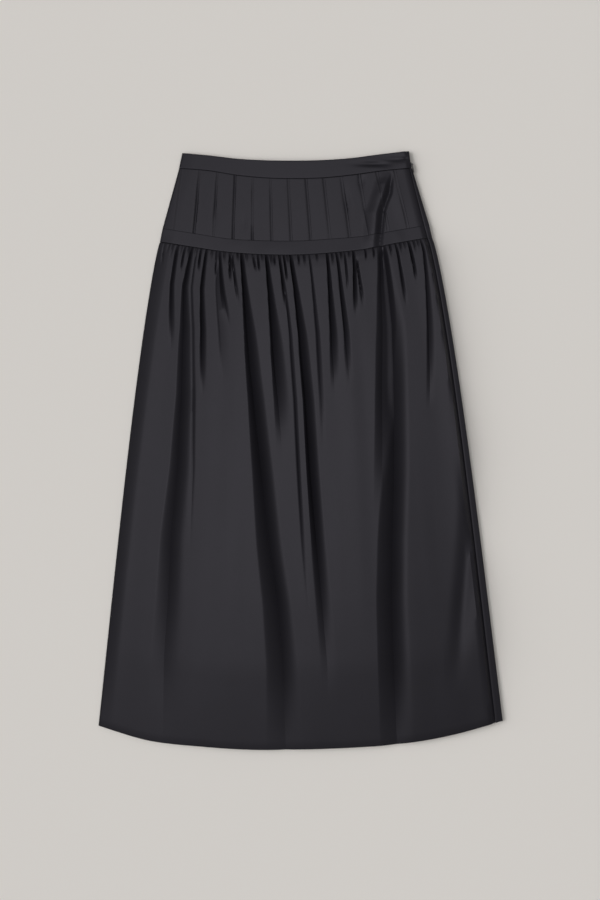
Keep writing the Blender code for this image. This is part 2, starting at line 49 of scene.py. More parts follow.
camera_data = bpy.data.cameras.new("overhead_camera")
camera_data.sensor_width = SENSOR_MM
camera_data.lens = SENSOR_MM * (CAMERA_HEIGHT_MM - CLOTH_HEIGHT_MM) / PHOTO_HEIGHT_MM
camera = bpy.data.objects.new("overhead_camera", camera_data)
camera.location = (VIEW_CENTRE_MM[0] / 1000, VIEW_CENTRE_MM[1] / 1000, CAMERA_HEIGHT_MM / 1000)
bpy.context.scene.collection.objects.link(camera)
bpy.context.scene.camera = camera
bpy.context.scene.view_settings.view_transform = "Standard"

# Light: a large soft box hangs over the skirt, a little to the left, and shows the slopes of its cloth. A
# low window at the left reaches the ground alone, where it lays the soft shadow, and so does a broad lamp
# straight above, which keeps that shadow pale. The ceiling is pale.
SOFTBOX_PLACE_M = (-0.16, 0.06, 1.5)
SOFTBOX_SIZE_M = (1.8, 1.0)
SOFTBOX_POWER = 17.8
WINDOW_TURN = 178  # degrees from +X
WINDOW_HEIGHT = 24
WINDOW_SOFTNESS = 48
WINDOW_STRENGTH = 3.05
LAMP_SOFTNESS = 165
LAMP_STRENGTH = 0.61
CEILING_STRENGTH = 0.2


def linear(hex_colour):
    """A colour written as sRGB hex, as the linear values that a shader takes."""
    parts = [int(hex_colour[i : i + 2], 16) / 255 for i in (1, 3, 5)]
    return [p / 12.92 if p <= 0.04045 else ((p + 0.055) / 1.055) ** 2.4 for p in parts] + [1.0]


softbox_data = bpy.data.lights.new("overhead_softbox", "AREA")
softbox_data.shape = "RECTANGLE"
softbox_data.size, softbox_data.size_y = SOFTBOX_SIZE_M
softbox_data.energy = SOFTBOX_POWER
softbox = bpy.data.objects.new("overhead_softbox", softbox_data)
softbox.location = SOFTBOX_PLACE_M
softbox.rotation_euler = Vector(SOFTBOX_PLACE_M).to_track_quat("Z", "Y").to_euler()
bpy.context.scene.collection.objects.link(softbox)
window_data = bpy.data.lights.new("low_window", "SUN")
window_data.energy = WINDOW_STRENGTH
window_data.angle = math.radians(WINDOW_SOFTNESS)
turn, height = math.radians(WINDOW_TURN), math.radians(WINDOW_HEIGHT)
towards = Vector((math.cos(turn) * math.cos(height), math.sin(turn) * math.cos(height), math.sin(height)))
window = bpy.data.objects.new("low_window", window_data)
window.location = towards * 3
window.rotation_euler = towards.to_track_quat("Z", "Y").to_euler()
bpy.context.scene.collection.objects.link(window)
lamp_data = bpy.data.lights.new("broad_lamp", "SUN")
lamp_data.energy = LAMP_STRENGTH
lamp_data.angle = math.radians(LAMP_SOFTNESS)
lamp = bpy.data.objects.new("broad_lamp", lamp_data)
lamp.location = (0, 0, 3)
bpy.context.scene.collection.objects.link(lamp)
ceiling = bpy.data.worlds.new("pale_ceiling")
ceiling.use_nodes = True
ceiling.node_tree.nodes["Background"].inputs["Color"].default_value = linear("#f6f5f4")
ceiling.node_tree.nodes["Background"].inputs["Strength"].default_value = CEILING_STRENGTH
bpy.context.scene.world = ceiling

# Ground: a plain pale warm grey board under the skirt. It is painted matt, so it shows no gloss and no
# mark, only the skirt's soft shadow. It is not part of the skirt.
GROUND_SIZE_M = 14
GROUND_COLOUR = "#e8e4df"
GROUND_DROP_MM = 0.05

bpy.ops.object.select_all(action="DESELECT")
bpy.ops.mesh.primitive_plane_add(size=GROUND_SIZE_M, location=(0, 0, -GROUND_DROP_MM / 1000))
ground = bpy.context.object
ground.name = "ground_board"
bpy.ops.object.transform_apply(location=True, rotation=True, scale=True)
board_paint = bpy.data.materials.new("matt_board_paint")
board_paint.use_nodes = True
board_shader = board_paint.node_tree.nodes["Principled BSDF"]
board_shader.inputs["Base Color"].default_value = linear(GROUND_COLOUR)
board_shader.inputs["Roughness"].default_value = 0.9
board_shader.inputs["Specular IOR Level"].default_value = 0.1
ground.data.materials.append(board_paint)
window_reach = bpy.data.collections.new("lit_by_the_window_and_the_lamp")
window_reach.objects.link(ground)
window.light_linking.receiver_collection = window_reach
lamp.light_linking.receiver_collection = window_reach
softbox_reach = bpy.data.collections.new("lit_by_the_softbox")
softbox.light_linking.receiver_collection = softbox_reach

# Skirt front: one flared panel of charcoal crepe, cut wider than the hip band and drawn up into it on two
# running threads. The gathers start as small pleats in the seam, open into soft ridges and die away, and
# four of them run on as long folds to near the hem. It is turned up and blind stitched at the hem.
LongFolds = namedtuple("LongFolds", "depth left left_middle middle right right_inner")
LONG_FOLDS = (  # where they run: shares of the panel's width, at depths in mm below the gathered seam
    LongFolds(0, 0.124, 0.306, 0.487, 0.822, 0.834),
    LongFolds(60, 0.118, 0.329, 0.507, 0.808, 0.834),
    LongFolds(120, 0.134, 0.350, 0.523, 0.800, 0.834),
    LongFolds(220, 0.149, 0.378, 0.539, 0.778, 0.818),
    LongFolds(330, 0.153, 0.404, 0.548, 0.758, 0.799),
    LongFolds(440, 0.146, 0.426, 0.560, 0.744, 0.775),
    LongFolds(525, 0.150, 0.449, 0.571, 0.740, 0.762),
    LongFolds(615, 0.151, 0.464, 0.581, 0.736, 0.757),
    LongFolds(745, 0.163, 0.472, 0.583, 0.736, 0.752),
)
# A place counts from 0 at the left edge through 1 to 5 at the long folds to 6 at the right edge. start and
# end are depths in mm. steep and soft are the half widths to the left and right of the bottom in mm, and
# end_steep and end_soft the same at its end. With soft below 0 it is a step, whose shelf falls on to until.
Fold = namedtuple(
    "Fold", "place end_place start end strength steep soft end_steep end_soft until", defaults=[6]
)
FOLDS = (
    Fold(0.15, 0.22, 0, 36, 0.5, 3, 3, 3, 4),
    Fold(0.57, 0.70, 0, 160, 0.8, 4.5, 4.5, 3, 4),
    Fold(0.79, 0.80, 0, 40, 0.6, 3, 3, 2.5, 3),
    Fold(1.00, 1.00, 0, 840, 0.95, 4, 4.5, 17, 22),
    Fold(1.10, 1.21, 0, 470, 0.16, 2, 2, 2, 3),
    Fold(1.18, 1.19, 0, 36, 0.7, 3, 3, 2.5, 3),
    Fold(1.29, 1.27, 0, 222, 0.85, 3.5, 4, 3, 4),
    Fold(1.49, 1.51, 0, 44, 0.4, 2.5, 3, 2.5, 3),
    Fold(1.53, 1.57, 45, 200, 0.16, 3, 3, 3, 3),
    Fold(1.56, 1.70, 0, 112, 0.5, 3.5, 4, 3.5, 4),
    Fold(1.77, 1.76, 0, 46, 0.65, 3.5, 4, 3, 3),
    Fold(1.82, 1.88, 10, 76, 0.35, 3, 3, 3, 4),
    Fold(2.00, 2.00, 0, 1100, 0.95, 3.5, 6, 27, 26),
    Fold(2.23, 2.27, 0, 28, 0.4, 3, 3, 3, 3),
    Fold(2.34, 2.33, 0, 27, 0.45, 3, 3, 3, 3),
    Fold(2.51, 2.43, 0, 305, 0.85, 4, 5, 6, 15),
    Fold(2.67, 2.66, 0, 17, 0.5, 2.5, 3, 2.5, 3),
    Fold(2.78, 2.77, 0, 78, 0.8, 3.5, 3, 3, 3),
    Fold(2.80, 2.68, 90, 550, 0.18, 2, 2.5, 2, 3),
    Fold(2.87, 2.86, 0, 42, 0.6, 3, 3, 2.5, 3),
    Fold(3.00, 3.00, 0, 680, 0.95, 3.3, 6, 7, 12),
    Fold(3.09, 3.08, 0, 17, 0.5, 2.5, 3, 2.5, 3),
    Fold(3.21, 3.18, 0, 300, 0.2, 2.5, 3, 3, 4),
    Fold(3.41, 3.36, 0, 215, 0.65, 4, 3.5, 4, 7),
    Fold(3.51, 3.56, 0, 206, 0.5, 3, 4, 3.5, 5),
    Fold(3.60, 3.60, 0, 60, 0.35, 2.5, 3, 2.5, 3),
    Fold(3.70, 3.67, 0, 96, 0.75, 3.5, 4, 3.5, 5),
    Fold(3.73, 3.77, 25, 84, 0.4, 3, 3, 3, 4),
    Fold(3.83, 3.83, 0, 16, 0.5, 2.5, 3, 2.5, 3),
    Fold(3.92, 3.92, 0, 16, 0.5, 2.5, 3, 2.5, 3),
    Fold(4.00, 4.00, 0, 420, 0.6, 9, -24, 9, -30, until=5),
    Fold(5.00, 5.00, 0, 430, 0.98, 13, 6, 14, 10),
    Fold(5.00, 5.00, 210, 1100, 1.0, 15.5, 12, 18, 22),
    Fold(5.26, 5.28, 0, 95, 0.5, 3, 3, 3, 4),
    Fold(5.55, 5.56, 0, 62, 0.8, 3.5, 4, 3, 4),
    Fold(5.82, 5.53, 20, 260, 0.45, 3, 4, 4, 6),
    Fold(5.94, 5.95, 0, 90, 0.4, 3, 3, 3, 4),
    Fold(6.00, 5.60, 400, 700, 0.45, 12, 16, 14, 16),
)
# Small puckers that the running threads draw along the seam, between the gathers: place, length in mm
Pucker = namedtuple("Pucker", "place length strength")
PUCKERS = (
    Pucker(0.30, 16, 0.24),
    Pucker(0.42, 24, 0.28),
    Pucker(0.68, 18, 0.24),
    Pucker(0.90, 18, 0.32),
    Pucker(1.08, 20, 0.28),
    Pucker(1.40, 16, 0.24),
    Pucker(1.65, 18, 0.28),
    Pucker(1.92, 14, 0.28),
    Pucker(2.10, 14, 0.24),
    Pucker(2.42, 12, 0.24),
    Pucker(2.60, 18, 0.28),
    Pucker(2.94, 14, 0.28),
    Pucker(3.15, 18, 0.28),
    Pucker(3.29, 14, 0.24),
    Pucker(3.46, 22, 0.24),
    Pucker(3.56, 14, 0.28),
    Pucker(3.65, 12, 0.28),
    Pucker(4.55, 20, 0.28),
    Pucker(5.13, 20, 0.32),
    Pucker(5.36, 16, 0.28),
    Pucker(5.46, 12, 0.24),
    Pucker(5.66, 20, 0.28),
    Pucker(5.75, 14, 0.24),
)
PUCKER_WIDTH = 2.2
Loft = namedtuple("Loft", "depth rise")
LOFTS = (  # how far the cloth stands up between the folds, in mm, at depths below the gathered seam
    Loft(0, 9.4),
    Loft(8, 11.2),
    Loft(20, 12.4),
    Loft(40, 13.0),
    Loft(60, 13.4),
    Loft(120, 14.4),
    Loft(300, 16.8),
    Loft(520, 17.0),
    Loft(620, 15.0),
    Loft(745, 5.0),
)
SEAM_GRIP = 0.5  # the gathers' share of their strength in the seam itself
SEAM_WIDTH = 0.45  # and of their width and their lean there
OPENING_LENGTH = 160  # they reach their full width this far down
GRIP_LENGTH = 16
FADE_FROM = 0.45  # a fold keeps its strength over this share of its length
FADE_IN = 0.25
FOLD_SHOULDER = 1.5  # a fold's sides reach this many of its half widths out
STEP_LIMIT = 1.5  # a step's shelf falls on past its foot until its shape has this value
DEEPEST = 0.92  # the share of the loft that a step takes away at most
STEEP_SHAPE = 1.3  # a fold's left side drops from a sharp crest, and its right side rises in a soft curve
SOFT_SHAPE = 2.0
FOLD_LEAN = 0.45  # a crest leans over the fold on its right, by this share of its height
LEAN_LENGTH = 480
SKIRT_DEPTH = 745
ROW_STOPS = ((0, 0), (24, 60), (58, 260), (94, SKIRT_DEPTH))  # row counts and the depths that they reach
SEAM_ROWS = (0, 0.4, 0.9)  # close rows where the cloth turns down: depths in mm, and heights above the hem
HEM_ROWS = (1.2, 0.5, 0)
COLUMN_MM = 1.0  # columns lie this close at the seam, and follow the folds
TRACKED_LENGTH = 90  # folds longer than this have a column along their bottom
TRACKED_START = 100
LEFT_PLACES = (0, 0.006, 0.015)  # close columns where the sides turn down
RIGHT_PLACES = (5.985, 5.994, 6.0)
DRIFT_RISE = 0.5  # the uneven lie of the cloth between its folds
DRIFT_WIDTH = 0.045  # as shares of the panel
DRIFT_LENGTH = 0.3
DRIFT_START = 80  # mm below the seam, where it is all there
DRIFT_SEED = 4
HEM_ROLL = 1.6  # the edges turn down over these widths, by the drops below
EDGE_ROLL = 2.2
LEFT_DROP = 1.2
RIGHT_DROP = 0.8
HEM_DROP = 0.8
SEAM_DROP = 0.9
# The seams across the garment, in mm from its middle. heights are y at nine even stations
CrossLine = namedtuple("CrossLine", "left_x right_x heights")
GATHER_SEAM = CrossLine(-211.4, 197.8, (313.3, 304.9, 297.4, 293.6, 293.0, 296.0, 301.4, 311.2, 319.6))
HEM = CrossLine(-303.9, 303.9, (-414.0, -436.0, -444.4, -449.2, -448.9, -446.2, -440.4, -427.2, -406.0))
LEFT_BOW = 8.4
RIGHT_BOW = 9.2
BOW_SKEW = 0.6
SEAM_GAP = 0.3
CLOTH_WALL = 1.2  # of the solids, which sets how high the layers lie
ZIP_SLIT = 2.0
SIDE_ROUNDING = 40
LEFT_RISE = 20  # from the left side the cloth rises to a share of its loft, and reaches it all further in
LEFT_SHARE = 0.36
LEFT_SHAPE = 1.5
LEFT_REACH = 190
RIGHT_STEP = 8  # at the right it steps up to a share of its loft, and reaches it all further in
RIGHT_SHARE = 0.78
RIGHT_RISE = 150
SKIRT_LIP = 6.6  # how far the back's rolled edge reaches over the front, at the seam and at the hem
HEM_LIP = 11.0
SHELL = 0.9  # thickness of the cloth that shows
SHARP_BEND = math.radians(34)
# Charcoal crepe: matt polyester crepe with a satin back, piece dyed. The eye sees an even black with a
# violet cast, a faint broad sheen on the crests and no weave. The crepe grain is under 0.5 mm and its
# threads 0.2 mm, too fine to show, so they are drawn at 1.6 mm and 0.45 mm and very low.
CREPE_COLOUR = "#19181c"
CREPE_PALE = "#1d1c21"
GRAIN_MM = 1.6
MOTTLE_MM = 45
THREAD_MM = 0.45
ACROSS_THREADS = 1000 / THREAD_MM
ALONG_THREADS = 300 / THREAD_MM


def add_node(tree, kind, settings=None, links=None):
    """Adds one shader node, gives its settings and input values, and links sockets into it."""
    node = tree.nodes.new(kind)
    for name, value in (settings or {}).items():
        if name in node.inputs:
            node.inputs[name].default_value = value
        else:
            setattr(node, name, value)
    for name, socket in (links or {}).items():
        tree.links.new(socket, node.inputs[name])
    return node


def charcoal_crepe(name, colour, pale, thread_scale):
    """The skirt's cloth, with its threads running as thread_scale says along x, y and z."""
    material = bpy.data.materials.new(name)
    material.use_nodes = True
    tree = material.node_tree
    shader = tree.nodes["Principled BSDF"]
    place = add_node(tree, "ShaderNodeTexCoord").outputs["Object"]
    mottle = add_node(
        tree, "ShaderNodeTexNoise", {"Scale": 1000 / MOTTLE_MM, "Detail": 3.0}, {"Vector": place}
    )
    grain = add_node(
        tree, "ShaderNodeTexNoise", {"Scale": 1000 / GRAIN_MM, "Detail": 2.0}, {"Vector": place}
    )
    turned = add_node(tree, "ShaderNodeMapping", {"Scale": thread_scale}, {"Vector": place})
    threads = add_node(
        tree, "ShaderNodeTexNoise", {"Scale": 1.0, "Detail": 1.0}, {"Vector": turned.outputs["Vector"]}
    )
    tint = add_node(
        tree,
        "ShaderNodeMixRGB",
        {"Color1": linear(colour), "Color2": linear(pale)},
        {"Fac": mottle.outputs["Fac"]},
    )
    relief = add_node(
        tree,
        "ShaderNodeMath",
        {"operation": "ADD"},
        {0: grain.outputs["Fac"], 1: threads.outputs["Fac"]},
    )
    bump = add_node(
        tree, "ShaderNodeBump", {"Strength": 0.15, "Distance": 0.0002}, {"Height": relief.outputs["Value"]}
    )
    gloss = add_node(
        tree, "ShaderNodeMapRange", {"To Min": 0.5, "To Max": 0.58}, {"Value": grain.outputs["Fac"]}
    )
    tree.links.new(tint.outputs["Color"], shader.inputs["Base Color"])
    tree.links.new(gloss.outputs["Result"], shader.inputs["Roughness"])
    tree.links.new(bump.outputs["Normal"], shader.inputs["Normal"])
    shader.inputs["IOR"].default_value = 1.5
    shader.inputs["Specular IOR Level"].default_value = 0.34
    shader.inputs["Specular Tint"].default_value = linear("#eeeaf6")
    return material


crepe = charcoal_crepe(
    "charcoal_polyester_crepe", CREPE_COLOUR, CREPE_PALE, (ACROSS_THREADS, ALONG_THREADS, ACROSS_THREADS)
)


def smooth(share):
    """An even change from 0 to 1, level at both ends."""
    share = np.clip(share, 0.0, 1.0)
    return share * share * (3 - 2 * share)


def curve_through(values, share):
    """A smooth curve through evenly spaced values, read at shares of its length."""
    last = len(values) - 1
    at = np.clip(share, 0.0, 1.0) * last
    i = np.minimum(at.astype(int), last - 1)
    t = at - i
    padded = np.array([2 * values[0] - values[1], *values, 2 * values[-1] - values[-2]])
    before, a, b, after = (padded[i + k] for k in range(4))
    slope_a, slope_b = (b - before) / 2, (after - a) / 2
    level = a * (2 * t**3 - 3 * t**2 + 1) + b * (3 * t**2 - 2 * t**3)
    return level + slope_a * (t**3 - 2 * t**2 + t) + slope_b * (t**3 - t**2)


def panel(upper, lower, across, down, bowed=False):
    """x and y of points of the panel between two cross lines, held off each seam by half the gap."""
    across = np.asarray(across, float)
    top_x = upper.left_x + (upper.right_x - upper.left_x) * across
    foot_x = lower.left_x + (lower.right_x - lower.left_x) * across
    top_y = curve_through(upper.heights, across) - SEAM_GAP / 2
    foot_y = curve_through(lower.heights, across) + (0 if bowed else SEAM_GAP / 2)
    x = top_x + (foot_x - top_x) * down
    if bowed:
        x = x + math.sin(math.pi * down**BOW_SKEW) * (RIGHT_BOW * across - LEFT_BOW * (1 - across))
    return x, top_y + (foot_y - top_y) * down


def lie(from_right, wall):
    """Height of a front's face where it lies flat: on the back, and over the zip along the right side."""
    return 2 * wall + SEAM_GAP + (ZIP_SLIT - SEAM_GAP) * smooth(1 - from_right / SIDE_ROUNDING)


def side_rise(from_left, from_right):
    """How much of its loft the cloth has reached between its sides."""
    near = 1 - np.clip(1 - from_left / LEFT_RISE, 0.0, 1.0) ** LEFT_SHAPE
    left = LEFT_SHARE * near + (1 - LEFT_SHARE) * smooth(from_left / LEFT_REACH)
    right = RIGHT_SHARE + (1 - RIGHT_SHARE) * smooth(from_right / RIGHT_RISE)
    return left * smooth(from_right / RIGHT_STEP) * right


def rolled(distance, radius, drop):
    """How far a face has turned down at a distance from its edge."""
    inside = np.clip(1 - distance / radius, 0.0, 1.0)
    return drop * (1 - np.sqrt(1 - inside**2))


def drift(across, down, seed):
    """Slow uneven rises and falls between -1 and 1, longer down the cloth than across it."""
    knots = np.random.default_rng(seed).uniform(-1, 1, (64, 64))
    u, v = np.asarray(across, float) / DRIFT_WIDTH, np.asarray(down, float) / DRIFT_LENGTH
    i, j = u.astype(int), v.astype(int)
    s, t = smooth(u - i), smooth(v - j)
    near = knots[i, j] * (1 - s) + knots[i + 1, j] * s
    far = knots[i, j + 1] * (1 - s) + knots[i + 1, j + 1] * s
    return near * (1 - t) + far * t


def cloth_shell(name, x, y, z, thickness=SHELL, sharp_columns=()):
    """A thin closed shell whose face is a grid of points in mm, in rows from the waist down."""
    rows, columns = x.shape
    bpy.ops.object.select_all(action="DESELECT")
    bpy.ops.mesh.primitive_grid_add(x_subdivisions=columns - 1, y_subdivisions=rows - 1)
    shell = bpy.context.object
    shell.name = shell.data.name = name
    points = np.stack([x, y, z], axis=2)[::-1] / 1000
    shell.data.vertices.foreach_set("co", points.reshape(-1))
    shell.data.update()
    creased = np.isin(np.arange(rows * columns) % columns, sharp_columns)
    for edge in shell.data.edges:
        a, b = edge.vertices
        edge.use_edge_sharp = bool(creased[a] and abs(a - b) == columns)
    wall = shell.modifiers.new("wall", "SOLIDIFY")
    wall.thickness = thickness / 1000
    wall.offset = -1
    bpy.ops.object.modifier_apply(modifier="wall")
    bpy.ops.object.shade_smooth_by_angle(angle=SHARP_BEND)
    return shell


def lay(shell, node, material):
    """Gives a panel its cloth, lets the softbox light it, joins it to the skirt's body and hides its solid.
    """
    shell.data.materials.append(material)
    softbox_reach.objects.link(shell)
    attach(shell, "skirt")
    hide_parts(node)


def guide_shares(depth):
    """Where places 0 to 6 lie, as shares of the width, at one depth."""
    depths = [row.depth for row in LONG_FOLDS]
    return [0.0, *(np.interp(depth, depths, [row[k] for row in LONG_FOLDS]) for k in range(1, 6)), 1.0]


def fold_now(fold, depth):
    """Place, strength and half widths of one fold at a depth."""
    run = (depth - fold.start) / (fold.end - fold.start)
    if run < 0:
        strength = fold.strength * float(smooth(1 + run / FADE_IN))
    else:
        strength = fold.strength * (1 - float(smooth((run - FADE_FROM) / (1 - FADE_FROM))))
    run = min(1.0, max(0.0, run))
    opened = SEAM_WIDTH + (1 - SEAM_WIDTH) * float(smooth(depth / OPENING_LENGTH))
    steep = opened * (fold.steep + (fold.end_steep - fold.steep) * run)
    soft = opened * (fold.soft + (fold.end_soft - fold.soft) * run)
    return fold.place + (fold.end_place - fold.place) * run, strength, steep, soft


def column_places(depth):
    """Places of the columns at one depth, and which of them run along the bottoms of the longer folds."""
    longer = [f for f in FOLDS if f.start < TRACKED_START and f.end - f.start > TRACKED_LENGTH]
    at_seam = [0.0, *sorted(f.place for f in longer), 6.0]
    seam_width = GATHER_SEAM.right_x - GATHER_SEAM.left_x
    counts = np.diff(np.interp(at_seam, range(7), guide_shares(0))) * seam_width / COLUMN_MM
    at_depth = [0.0, *(fold_now(f, depth)[0] for f in sorted(longer)), 6.0]
    counts = [max(2, round(n)) for n in counts]
    stretches = zip(at_depth, at_depth[1:], counts)
    places = [np.linspace(a, b, n, endpoint=False) for a, b, n in stretches]
    places = np.concatenate([LEFT_PLACES, *places, RIGHT_PLACES])
    bottoms = np.cumsum(counts)[:-1] + len(LEFT_PLACES) - 1
    return np.sort(np.delete(places, len(LEFT_PLACES))), bottoms


def gathered(x, left, width, depth):
    """How high one row of the skirt stands over its lie, and how much of its loft the folds take away."""
    loft = np.interp(depth, [row.depth for row in LOFTS], [row.rise for row in LOFTS])
    grip = SEAM_GRIP + (1 - SEAM_GRIP) * float(smooth(depth / GRIP_LENGTH))
    shares = guide_shares(depth)
    kept = np.ones_like(x)
    for fold in FOLDS:
        place, strength, steep, soft = fold_now(fold, depth)
        if strength <= 0:
            continue
        bottom, border = left + width * np.interp([place, fold.until], range(7), shares)
        beyond = x - bottom
        reach = np.where(beyond < 0, -beyond / steep, beyond / soft) / FOLD_SHOULDER
        side = np.where(beyond < 0, STEEP_SHAPE, SOFT_SHAPE)
        taken = grip * strength * np.clip(1 - reach, 0, STEP_LIMIT) ** side * (x <= border)
        kept = np.minimum(kept, 1 - (np.minimum(taken, DEEPEST) if soft < 0 else taken))
    for pucker in PUCKERS:
        strength = pucker.strength * (1 - float(smooth(depth / pucker.length)))
        if strength > 0:
            beyond = x - (left + width * np.interp(pucker.place, range(7), shares))
            kept = kept * (1 - strength * (1 - smooth(abs(beyond) / PUCKER_WIDTH)))
    return loft * kept, loft * (1 - kept)


def skirt_front_points():
    """The skirt front's face, the columns of its fold bottoms, and the depths of its rows."""
    row_counts, row_depths = zip(*ROW_STOPS)
    depths = np.interp(range(1, row_counts[-1]), row_counts, row_depths)
    depths = [*SEAM_ROWS, *depths, *(SKIRT_DEPTH - up for up in HEM_ROWS)]
    rows = []
    for depth in depths:
        down = depth / SKIRT_DEPTH
        ends, _ = panel(GATHER_SEAM, HEM, [0, 1], down, True)
        left, width = ends[0], ends[1] - ends[0]
        edge = ends[1] - (SKIRT_LIP + (HEM_LIP - SKIRT_LIP) * down + SEAM_GAP)
        places, bottoms = column_places(depth)
        shares = np.interp(places, range(7), guide_shares(depth))
        x, y = panel(GATHER_SEAM, HEM, shares * (edge - left) / width, down, True)
        sides = side_rise(x - left, edge - x)
        rise, drop = gathered(x, left, edge - left, depth)
        rise = rise + DRIFT_RISE * drift(shares, down, DRIFT_SEED) * min(1, depth / DRIFT_START)
        z = lie(edge - x, CLOTH_WALL) + rise * sides
        z = z - rolled(x - left, EDGE_ROLL, LEFT_DROP) - rolled(edge - x, EDGE_ROLL, RIGHT_DROP)
        z = z - rolled(SKIRT_DEPTH - depth, HEM_ROLL, HEM_DROP) - rolled(depth, HEM_ROLL, SEAM_DROP)
        opened = SEAM_WIDTH + (1 - SEAM_WIDTH) * float(smooth(depth / OPENING_LENGTH))
        x = x - FOLD_LEAN * opened * max(0, 1 - depth / LEAN_LENGTH) * drop * sides
        rows.append((x, y, z))
    return [np.array(part) for part in zip(*rows)], bottoms, np.array(depths)


skirt_front_grid, fold_bottoms, skirt_depths = skirt_front_points()
skirt_front = cloth_shell("skirt_front_cloth", *skirt_front_grid, sharp_columns=fold_bottoms)
lay(skirt_front, "skirt_front", crepe)

# Skirt back: the same panel, lying face down on the ground. Along the right it rolls round the side seam
# to the front, where it shows as a narrow darker strip. Its gathers are pressed flat under it.
TURN_STEPS = 8
LIP_STEPS = 5
LIP_ROLL = 1.0  # its free edge turns down over this width, by LIP_DROP
LIP_DROP = 0.4
LIFT_EDGE = 12  # the gathers die away over this width at the right side
BACK_GATHER_PITCH = 17  # mm, on average
BACK_GATHER_SHIFT = 1.7  # their pitch changes, with this shift and wave
BACK_GATHER_WAVE = 31
BACK_GATHER_RISE = 0.55
BACK_GATHER_LENGTH = 160
LIP_RISE = 1.2  # the rolled edge stands up towards the seam by this much


def back_points(upper, lower, downs, columns, wall, lips, bowed=False, lift=None):
    """Inner face of a back: flat on the ground, then round the right side and back to its edge."""
    radius = wall + ZIP_SLIT / 2
    rows = []
    for down in downs:
        lip = lips[0] + (lips[1] - lips[0]) * down
        ends, _ = panel(upper, lower, [0, 1], down, bowed)
        width = ends[1] - ends[0]
        across = np.linspace(0, (width - radius) / width, columns)
        flat_x, flat_y = panel(upper, lower, across, down, bowed)
        flat_z = np.full(columns, SHELL)
        if lift:
            flat_z = flat_z + lift(flat_x, down) * smooth((flat_x[-1] - flat_x) / LIFT_EDGE)
        turn = np.linspace(0, math.pi, TURN_STEPS + 1)[1:]
        turn_x = flat_x[-1] + np.sin(turn) * (radius - SHELL)
        turn_z = radius - np.cos(turn) * (radius - SHELL)
        run = np.linspace(0, 1, LIP_STEPS + 1)[1:]
        lip_x = flat_x[-1] + (ends[1] - lip - flat_x[-1]) * run
        _, lip_y = panel(upper, lower, (lip_x - ends[0]) / width, down, bowed)
        lip_z = 2 * radius - SHELL + LIP_RISE * run - rolled(lip_x - lip_x[-1], LIP_ROLL, LIP_DROP)
        rows.append(
            (
                np.concatenate([flat_x, turn_x, lip_x]),
                np.concatenate([flat_y, np.full(TURN_STEPS, flat_y[-1]), lip_y]),
                np.concatenate([flat_z, turn_z, lip_z]),
            )
        )
    return [np.array(part) for part in zip(*rows)]


def pressed_gathers(x, down):
    """The back's gathers, pressed to low ridges that die away below the seam."""
    depth = down * SKIRT_DEPTH
    shift = BACK_GATHER_SHIFT * np.sin(x / BACK_GATHER_WAVE)
    wave = np.sin(x * 2 * math.pi / BACK_GATHER_PITCH + shift)
    return BACK_GATHER_RISE * (0.5 + 0.5 * wave) * math.exp(-depth / BACK_GATHER_LENGTH)


skirt_back = cloth_shell(
    "skirt_back_cloth",
    *back_points(
        GATHER_SEAM,
        HEM,
        np.linspace(0, 1, 90),
        180,
        CLOTH_WALL,
        (SKIRT_LIP, HEM_LIP),
        bowed=True,
        lift=pressed_gathers,
    ),
)
lay(skirt_back, "skirt_back", crepe)

# Hip band: a straight band of the same cloth, faced and pressed, that the yoke and the gathers are sewn
# into. It is cut across the cloth, which turns its threads, and its colour is painted a little paler than
# the yoke's, as a painted sheen.
HIP_SEAM = CrossLine(-207.5, 193.5, (333.5, 325.4, 317.6, 314.8, 314.3, 317.2, 321.4, 330.0, 338.5))
BAND_WALL = 1.6
BAND_SHELL = 1.3
HIP_PUFF = 3.4  # how far the cloth stands up at the hip seam
BAND_FOOT_PUFF = 6.2  # the gathers lift the band's lower edge
HIP_LIP = 7.6
# The band's crepe colours, painted a little paler than the yoke's: a painted sheen.
BAND_COLOUR_PAINTED_SHEEN = "#1d1c20"
BAND_PALE_PAINTED_SHEEN = "#212025"
# One deep crease runs down the yoke and the band near the right, into the skirt's long fold. From its foot
# up, in mm: where it runs, its depth, the ridge at its left, and its half widths to the left and right
CreaseStop = namedtuple("CreaseStop", "y x depth ridge steep soft")
CREASE = (
    CreaseStop(290, 118.5, 3.4, 1.2, 10.0, 6.0),
    CreaseStop(300, 118.5, 3.4, 1.4, 10.0, 6.0),
    CreaseStop(314, 119.0, 3.4, 3.4, 10.0, 6.0),
    CreaseStop(330, 121.5, 3.4, 5.0, 10.5, 5.0),
    CreaseStop(357, 124.0, 3.4, 5.6, 11.0, 5.0),
    CreaseStop(372, 128.5, 3.4, 5.2, 10.5, 5.0),
    CreaseStop(386, 134.0, 3.4, 6.0, 11.0, 5.0),
    CreaseStop(400, 135.5, 3.2, 4.6, 9.0, 4.5),
    CreaseStop(410, 137.0, 1.2, 1.4, 6.0, 4.0),
    CreaseStop(418, 137.0, 0.0, 0.0, 4.0, 4.0),
)
CREASE_WALL = 1.3  # the power that shapes its walls
RIDGE_RUN = 20  # the ridge rises over this width
PRESSED_ROLL = 1.3  # a pressed edge turns down over this width
PRESSED_LEFT_DROP = 1.0
PRESSED_RIGHT_DROP = 0.6
# Soft hollows and rises that handling left in the flat parts: middle, half sizes, lean to the right as it
# goes down, and how deep it goes, in mm
Hollow = namedtuple("Hollow", "x y half_width half_height lean depth")
BAND_HOLLOWS = (
    Hollow(-150, 313, 14, 14, 0.1, -0.5),
    Hollow(-96, 309, 20, 12, 0.0, -0.6),
    Hollow(-40, 304, 26, 12, 0.0, -0.5),
    Hollow(146, 322, 9, 14, 0.3, -0.6),
)


